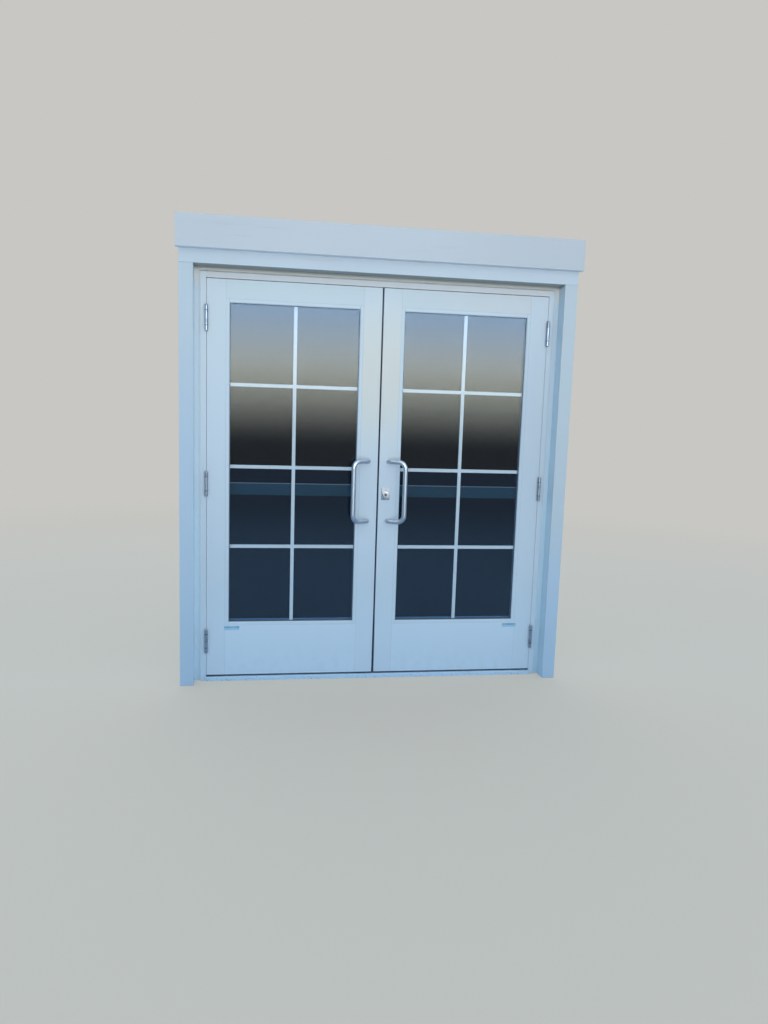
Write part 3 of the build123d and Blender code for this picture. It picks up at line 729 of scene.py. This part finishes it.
def plate_shade(paint, tone):
    """Painted reflection along the top of the lock's plate, painted shade along its foot and gap edge."""
    low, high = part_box("lock_plate")
    # Painted reflection along the top; painted shade along the foot and the edge at the gap below.
    tone = paint.mix(paint.ramp("Z", low.z + 0.035, high.z - 0.01) * 0.7, tone, chart(244, 250, 255))
    foot = paint.ramp("Z", low.z + 0.026, low.z + 0.006)
    edge = paint.ramp("X", low.x + 0.008, low.x + 0.003)
    plate_edge_shade = chart(140, 158, 182)
    return paint.mix(foot * 0.9, paint.mix(edge * 0.5, tone, plate_edge_shade), plate_edge_shade)


def brushed_finish(name, colour, dull, grooves, roughness, wear, shade=None):
    """Bare metal with fine grooves along one direction and soft dull patches."""
    material, paint, shader = new_finish(name, colour, roughness, metallic=1.0)
    lines = paint.noise(520, 3, grooves, 0.6)
    patches = paint.fade(paint.noise(34, 5), 0.45, 0.75)
    tone = paint.mix(patches * wear, colour, dull)
    paint.feed(shader.inputs["Base Color"], shade(paint, tone) if shade else tone)
    paint.feed(shader.inputs["Roughness"], roughness + 0.16 * lines + 0.12 * patches)
    roughen(paint, shader, lines, groove_depth)
    return material


along_x, along_z, all_round = (0.03, 1, 1), (1, 1, 0.03), (1, 1, 1)
pull_steel, pull_dull = chart(198, 208, 216), chart(170, 180, 189)
hinge_steel, hinge_dull = chart(168, 178, 190), chart(118, 126, 136)
lock_steel, lock_dull = chart(222, 227, 232), chart(176, 180, 184)
exit_alloy, exit_dull = chart(186, 189, 193), chart(150, 153, 157)
metals = {
    "satin_steel": ("brushed_pull", pull_steel, pull_dull, along_z, 0.34, 0.5),
    "hinge_steel": ("dull_steel", hinge_steel, hinge_dull, along_z, 0.3, 0.7),
    "lock_metal": ("satin_plate", lock_steel, lock_dull, all_round, 0.2, 0.4),
    "exit_metal": ("anodised_bar", exit_alloy, exit_dull, along_x, 0.28, 0.4),
}
for slot, look in metals.items():
    finishes[slot] = brushed_finish(*look)
lock_face = brushed_finish("lock_face", lock_steel, lock_dull, all_round, 0.2, 0.15, plate_shade)
# A darker plug in the lock's cylinder.
dark_plug = brushed_finish("darkened_plug", chart(104, 108, 116), chart(70, 72, 78), all_round, 0.3, 0.8)
print("finishes:", sorted(finishes))

# %% [markdown]
# ## Dress the CAD pieces
#
# The record names a material slot for each piece, so one loop gives every piece its finish. A few
# pieces have their own. The casing that lies across is brushed that way and has painted shade
# along its underside, and the deep header is the most weathered. The rails and stops carry the
# faint lines of their joints, the lock stiles their painted warm light and painted gap shade, and
# the head jamb a warmer white. The lock has its plate with a painted reflection and painted shade,
# and a darker plug.

# %% Give each piece its finish
own_finishes = {
    "head_casing": casing_paint,
    "header_board": header_paint,
    "header_backer": header_paint,
    "return_trim": trim_paint,
    "top_rail": top_coat,
    "bottom_rail": foot_coat,
    "outer_stops": stop_coat,
    "lock_stile": stile_coat,
    "head_jamb": head_coat,
    "lock_plate": lock_face,
    "key_plug": dark_plug,
}
for entry in frame["record"]["subparts"]:
    piece = nodes[entry["node"]]
    finish = finishes[entry["material_slot"]]
    finish = own_finishes.get(entry["node"].removeprefix("left_").removeprefix("right_"), finish)
    piece.data.materials.clear()
    piece.data.materials.append(finish)

# %% [markdown]
# ## Screws
#
# Screws are small but many, so one head is modelled and copied. It is a short cylinder with a
# broken edge and a socket pushed into its face. Each copy gets its own mesh, is turned to face
# the right way and is set a hair proud of its plate. The heads of one body are joined into one
# piece.

# %% Name a piece and let it ride
def finish_piece(piece, name, finish, body):
    """Names a piece, gives it its finish and lets it ride on its body."""
    piece.name = name
    piece.data.name = name
    piece.data.materials.clear()
    piece.data.materials.append(finish)
    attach(piece, body)
    print(name, "rides on", body, "faces", len(piece.data.polygons))


# %% Model one screw head
sides_of_head = 18
rim_share, socket_share = 0.14, 0.42
dome_share, socket_depth_share = 0.12, 0.7


def screw_head(radius, thick):
    """One screw head at the origin with its face towards -Y."""
    deselect()
    on_its_side = (math.radians(90), 0, 0)
    bpy.ops.mesh.primitive_cylinder_add(
        vertices=sides_of_head, radius=radius, depth=thick, location=(0, 0, 0), rotation=on_its_side
    )
    head = bpy.context.object
    bpy.ops.object.transform_apply(location=True, rotation=True, scale=True)
    bpy.context.tool_settings.mesh_select_mode = (False, False, True)
    for face in head.data.polygons:
        face.select = face.normal.y < -0.9
    bpy.ops.object.mode_set(mode="EDIT")
    bpy.ops.mesh.inset(thickness=radius * rim_share)
    bpy.ops.transform.translate(value=(0, -thick * dome_share, 0))
    bpy.ops.mesh.inset(thickness=radius * socket_share)
    bpy.ops.mesh.extrude_region_move(TRANSFORM_OT_translate={"value": (0, thick * socket_depth_share, 0)})
    bpy.ops.object.mode_set(mode="OBJECT")
    print("screw head:", len(head.data.polygons), "faces")
    return head


# %% Set copies of a piece
def set_copies(master, places, turn=Matrix()):
    """Copies of one piece, each with its own mesh, turned and set at places and joined. The master goes."""
    deselect()
    for place in places:
        copy = master.copy()
        copy.data = master.data.copy()
        copy.matrix_world = Matrix.Translation(place) @ turn
        bpy.context.scene.collection.objects.link(copy)
        copy.select_set(True)
        bpy.context.view_layer.objects.active = copy
    bpy.ops.object.join()
    joined = bpy.context.object
    bpy.ops.object.transform_apply(location=True, rotation=True, scale=True)
    bpy.data.objects.remove(master)
    print("copies joined:", len(places))
    return joined


def set_screws(name, places, facing, radius, thick, finish, body, slot):
    """Screw heads at places, all facing one way, as one piece."""
    turn = Vector((0, -1, 0)).rotation_difference(Vector(facing)).to_matrix().to_4x4()
    screws = set_copies(screw_head(radius, thick), places, turn)
    finish_piece(screws, name, finish, body)


# %% Set the hinge screws
hinge_screw_radius = 0.0042
hinge_screw_thick = 0.0014
proud = 0.0003
stop_reach = 0.016
hinge_centres = (0.226, 1.07875, 1.9315)
screw_pattern = ((-0.048, 0.010), (-0.016, 0.021), (0.016, 0.010), (0.048, 0.021))
screw_steel = finishes["satin_steel"]
opening_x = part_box("right_jamb")[0].x + stop_reach
leaf_edge_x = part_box("right_hinge_stile")[1].x
print("plates meet across", round((opening_x - leaf_edge_x) * 1000, 2), "mm")
spots = [(centre + rise, back) for centre in hinge_centres for rise, back in screw_pattern]
inset = hinge_screw_thick / 2 - proud
for side, sign in (("left", -1), ("right", 1)):
    on_frame = [(sign * (opening_x + inset), back, height) for height, back in spots]
    on_leaf = [(sign * (leaf_edge_x - inset), back, height) for height, back in spots]
    size = (hinge_screw_radius, hinge_screw_thick, screw_steel)
    set_screws(f"{side}_frame_hinge_screws", on_frame, (-sign, 0, 0), *size, "frame", "hinge_steel")
    set_screws(f"{side}_leaf_hinge_screws", on_leaf, (sign, 0, 0), *size, f"{side}_leaf", "hinge_steel")

# %% [markdown]
# Where a long knuckle meets a short one, a hinge of this kind has a thin bearing ring. It is a
# cylinder without ends, just wider than the barrel, that Solidify gives a wall.

# %% Bearing rings between the knuckles
hinge_height = 0.127
end_knuckle = 0.026
barrel_radius = 0.0085
ring_height = 0.0034
ring_wall = 0.0004
barrel_x = (opening_x + leaf_edge_x) / 2
barrel_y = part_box("frame_hinge_leaves")[0].y + barrel_radius
deselect()
ring_radius = barrel_radius + ring_wall
bpy.ops.mesh.primitive_cylinder_add(
    vertices=48, radius=ring_radius, depth=ring_height, end_fill_type="NOTHING", location=(0, 0, 0)
)
ring = bpy.context.object
wall = ring.modifiers.new("wall", "SOLIDIFY")
wall.thickness = ring_wall
wall.offset = -1
bpy.ops.object.modifier_apply(modifier=wall.name)
joint_rise = hinge_height / 2 - end_knuckle
joints = [centre + way * joint_rise for centre in hinge_centres for way in (-1, 1)]
rings = set_copies(ring, [(sign * barrel_x, barrel_y, joint) for sign in (-1, 1) for joint in joints])
deselect()
rings.select_set(True)
bpy.ops.object.shade_smooth_by_angle(angle=math.radians(35))
finish_piece(rings, "hinge_bearing_rings", finishes["guide_plastic"], "frame")

# %% Set the strike screws under the head
strike_low, strike_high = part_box("latch_strikes")
strike_screw_from_end = 0.009
rod_back = (strike_low.y + strike_high.y) / 2
strike_reach = strike_high.x
strike_length = 0.064
strike_screw_radius = 0.0036
strike_far = strike_reach - strike_screw_from_end
strike_near = strike_reach - strike_length + strike_screw_from_end
strike_spots = []
for sign in (-1, 1):
    for across in (strike_far, strike_near):
        strike_spots.append((sign * across, rod_back, strike_low.z + inset))
strike_screws = (strike_screw_radius, hinge_screw_thick, screw_steel)
set_screws("strike_screws", strike_spots, (0, 0, -1), *strike_screws, "frame", "hinge_steel")

# %% [markdown]
# ## Exit devices
#
# On the inner side each leaf has a latch case, a rail with a touch bar, and an end cap. The case
# gets a thin cover plate with bevelled edges, held by four screws, and the end cap gets one
# screw. The plate is a cube whose front edges are bevelled in edit mode.

# %% A plate with bevelled edges
def bevelled_plate(low, high, bevel, facing):
    """A thin block between two corners with the edges of the face that looks along facing bevelled."""
    centre = (Vector(low) + Vector(high)) / 2
    size = Vector(high) - Vector(low)
    deselect()
    bpy.ops.mesh.primitive_cube_add(size=1, location=centre)
    plate = bpy.context.object
    plate.scale = size
    bpy.ops.object.transform_apply(location=True, rotation=True, scale=True)
    bpy.context.tool_settings.mesh_select_mode = (False, False, True)
    for face in plate.data.polygons:
        face.select = face.normal.dot(Vector(facing)) > 0.9
    bpy.ops.object.mode_set(mode="EDIT")
    bpy.ops.mesh.bevel(offset=bevel, segments=2, affect="EDGES")
    bpy.ops.object.mode_set(mode="OBJECT")
    print("plate:", [round(value * 1000, 1) for value in size], "mm")
    return plate


# %% Cover plates and their screws
cover_margin = 0.010
cover_thick = 0.0016
cover_bevel = 0.0009
case_screw_radius = 0.0032
case_screws = (case_screw_radius, hinge_screw_thick, screw_steel)
cover_screw_margin = 0.019
cap_screw_from_rail = 0.010
for side, sign in (("left", -1), ("right", 1)):
    case_low, case_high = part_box(f"{side}_exit_case")
    low = (case_low.x + cover_margin, case_high.y, case_low.z + cover_margin)
    high = (case_high.x - cover_margin, case_high.y + cover_thick, case_high.z - cover_margin)
    cover_plate = bevelled_plate(low, high, cover_bevel, (0, 1, 0))
    finish_piece(cover_plate, f"{side}_case_cover", finishes["exit_metal"], f"{side}_leaf")
    face_y = case_high.y + cover_thick - inset
    corners = [
        (x, face_y, z)
        for x in (case_low.x + cover_screw_margin, case_high.x - cover_screw_margin)
        for z in (case_low.z + cover_screw_margin, case_high.z - cover_screw_margin)
    ]
    cap_low, cap_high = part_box(f"{side}_exit_end_cap")
    cap_x = cap_low.x + cap_screw_from_rail if sign > 0 else cap_high.x - cap_screw_from_rail
    corners.append((cap_x, cap_high.y - inset, (cap_low.z + cap_high.z) / 2))
    set_screws(f"{side}_case_screws", corners, (0, 1, 0), *case_screws, f"{side}_leaf", "exit_metal")

# %% [markdown]
# ## Glazing gaskets
#
# A thin rubber lip closes the joint between each glazing stop and its pane. It is a plane as
# large as the view through the stops, inset by the width of the lip. The inner face is deleted,
# and the ring that is left is extruded to the thickness of the rubber.

# %% Ring of rubber round each pane
lip_width = 0.0016
lip_thick = 0.0011


def rubber_ring(low, high, front):
    """An upright rectangular ring between two corners, with its outer face at front."""
    deselect()
    centre = ((low.x + high.x) / 2, front, (low.z + high.z) / 2)
    bpy.ops.mesh.primitive_plane_add(size=1, location=centre, rotation=(math.radians(90), 0, 0))
    ring = bpy.context.object
    ring.scale = (high.x - low.x, high.z - low.z, 1)
    bpy.ops.object.transform_apply(location=True, rotation=True, scale=True)
    bpy.ops.object.mode_set(mode="EDIT")
    bpy.ops.mesh.select_all(action="SELECT")
    bpy.ops.mesh.inset(thickness=lip_width)
    bpy.ops.mesh.delete(type="FACE")
    bpy.ops.mesh.select_all(action="SELECT")
    bpy.ops.mesh.extrude_region_move(TRANSFORM_OT_translate={"value": (0, lip_thick, 0)})
    bpy.ops.mesh.select_all(action="SELECT")
    bpy.ops.mesh.normals_make_consistent(inside=False)
    bpy.ops.object.mode_set(mode="OBJECT")
    return ring


for side in ("left", "right"):
    stops_low, stops_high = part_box(f"{side}_outer_stops")
    view_low = stops_low + Vector((stop_width, 0, stop_width))
    view_high = stops_high - Vector((stop_width, 0, stop_width))
    outer_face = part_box(f"{side}_outer_pane")[0].y
    inner_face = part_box(f"{side}_inner_pane")[1].y
    for name, front in (("outer", outer_face - lip_thick), ("inner", inner_face)):
        ring = rubber_ring(view_low, view_high, front)
        finish_piece(ring, f"{side}_{name}_gasket", finishes["grey_seal"], f"{side}_leaf")

# %% [markdown]
# ## Threshold ribs
#
# A threshold has low ribs along its length, so that a wet shoe doesn't slip. Each is a long strip
# with two bevelled edges. They are lower than the gap under the sweep, so a leaf still swings
# over them.

# %% Ribs along the threshold
def join(pieces):
    """The pieces joined into the first of them."""
    deselect()
    for piece in pieces:
        piece.select_set(True)
    bpy.context.view_layer.objects.active = pieces[0]
    bpy.ops.object.join()
    return bpy.context.object


rib_height = 0.0005
rib_width = 0.0022
rib_backs = (0.003, 0.0085, 0.034, 0.0395, 0.045)
sill_low, sill_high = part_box("threshold")
sill_flat = 0.022
rib_end_gap = 0.02
fine_bevel = 0.0002
ribs = []
for back in rib_backs:
    low = (sill_low.x + rib_end_gap, back, sill_flat)
    high = (sill_high.x - rib_end_gap, back + rib_width, sill_flat + rib_height)
    ribs.append(bevelled_plate(low, high, fine_bevel, (0, 0, 1)))
finish_piece(join(ribs), "threshold_ribs", finishes["sill_aluminium"], "frame")

# %% [markdown]
# ## Edge seals
#
# Two more seals show only as lines. A black rubber lip runs along the foot of each leaf and hides
# the sweep behind it. A slim white fin stands in each hinge gap, just behind the face, and stops
# between the hinges. It narrows the gap, so the line beside the hinges is fainter than the one
# between the leaves.

# %% Lips under the leaves
foot_rise = 0.005
foot_proud = 0.0005
leaf_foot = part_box("right_bottom_rail")[0].z
for side, sign in (("left", -1), ("right", 1)):
    near, away = sorted((sign * meeting_x, sign * leaf_edge_x))
    low, high = (near, -foot_proud, leaf_foot), (away, 0, leaf_foot + foot_rise)
    foot = bevelled_plate(low, high, fine_bevel, (0, -1, 0))
    finish_piece(foot, f"{side}_foot_lip", finishes["black_seal"], f"{side}_leaf")

# %% Fins in the hinge gaps
fin_width = 0.0016
fin_front, fin_back = 0.0008, 0.0028
fin_bevel = 0.0004
leaf_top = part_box("right_hinge_stile")[1].z
hinge_half = hinge_height / 2 + 0.001
ends = [leaf_foot] + [centre + way * hinge_half for centre in hinge_centres for way in (-1, 1)] + [leaf_top]
fins = []
for sign in (-1, 1):
    near, away = sorted((sign * (opening_x - fin_width), sign * opening_x))
    for bottom, top in zip(ends[::2], ends[1::2]):
        fins.append(bevelled_plate((near, fin_front, bottom), (away, fin_back, top), fin_bevel, (0, -1, 0)))
finish_piece(join(fins), "hinge_gap_fins", finishes["white_aluminium"], "frame")

# %% [markdown]
# ## Blue strips
#
# Each leaf carries a small strip of blue film on its bottom rail, under the corner of the glass.
# It is left bare. The film is a plate half a millimetre thick with its front edges broken, darker
# along its upper half, with a little dirt on it.

# %% Plain strips of blue film
film_thick = 0.0005
film_size = (0.080, 0.022)
film_height = 0.293
film_blue = chart(130, 182, 206)
film_pale = chart(180, 218, 234)
film_finish, film_paint, film_shader = new_finish("blue_film", film_blue, 0.35)
upper = film_paint.ramp("Z", film_height - 0.003, film_height + 0.003)
film_tone = film_paint.mix(upper, film_pale, film_blue)
worn = film_paint.fade(film_paint.noise(28, 2), 0.4, 0.7)
film_paint.feed(film_shader.inputs["Base Color"], film_paint.mix(worn * 0.3, film_tone, coat_white))
film_paint.feed(film_shader.inputs["Roughness"], 0.32 + 0.2 * worn)
roughen(film_paint, film_shader, film_paint.noise(160, 3), 0.0001)
for side, middle_x in (("left", -0.777), ("right", 0.783)):
    low = (middle_x - film_size[0] / 2, -film_thick, film_height - film_size[1] / 2)
    high = (middle_x + film_size[0] / 2, 0, film_height + film_size[1] / 2)
    film = bevelled_plate(low, high, fine_bevel, (0, -1, 0))
    finish_piece(film, f"{side}_blue_strip", film_finish, f"{side}_leaf")

# %% [markdown]
# ## Sizes
#
# The screws, strips and seals are small and lie on the pieces, so the dressed doors should be no
# larger than the model.
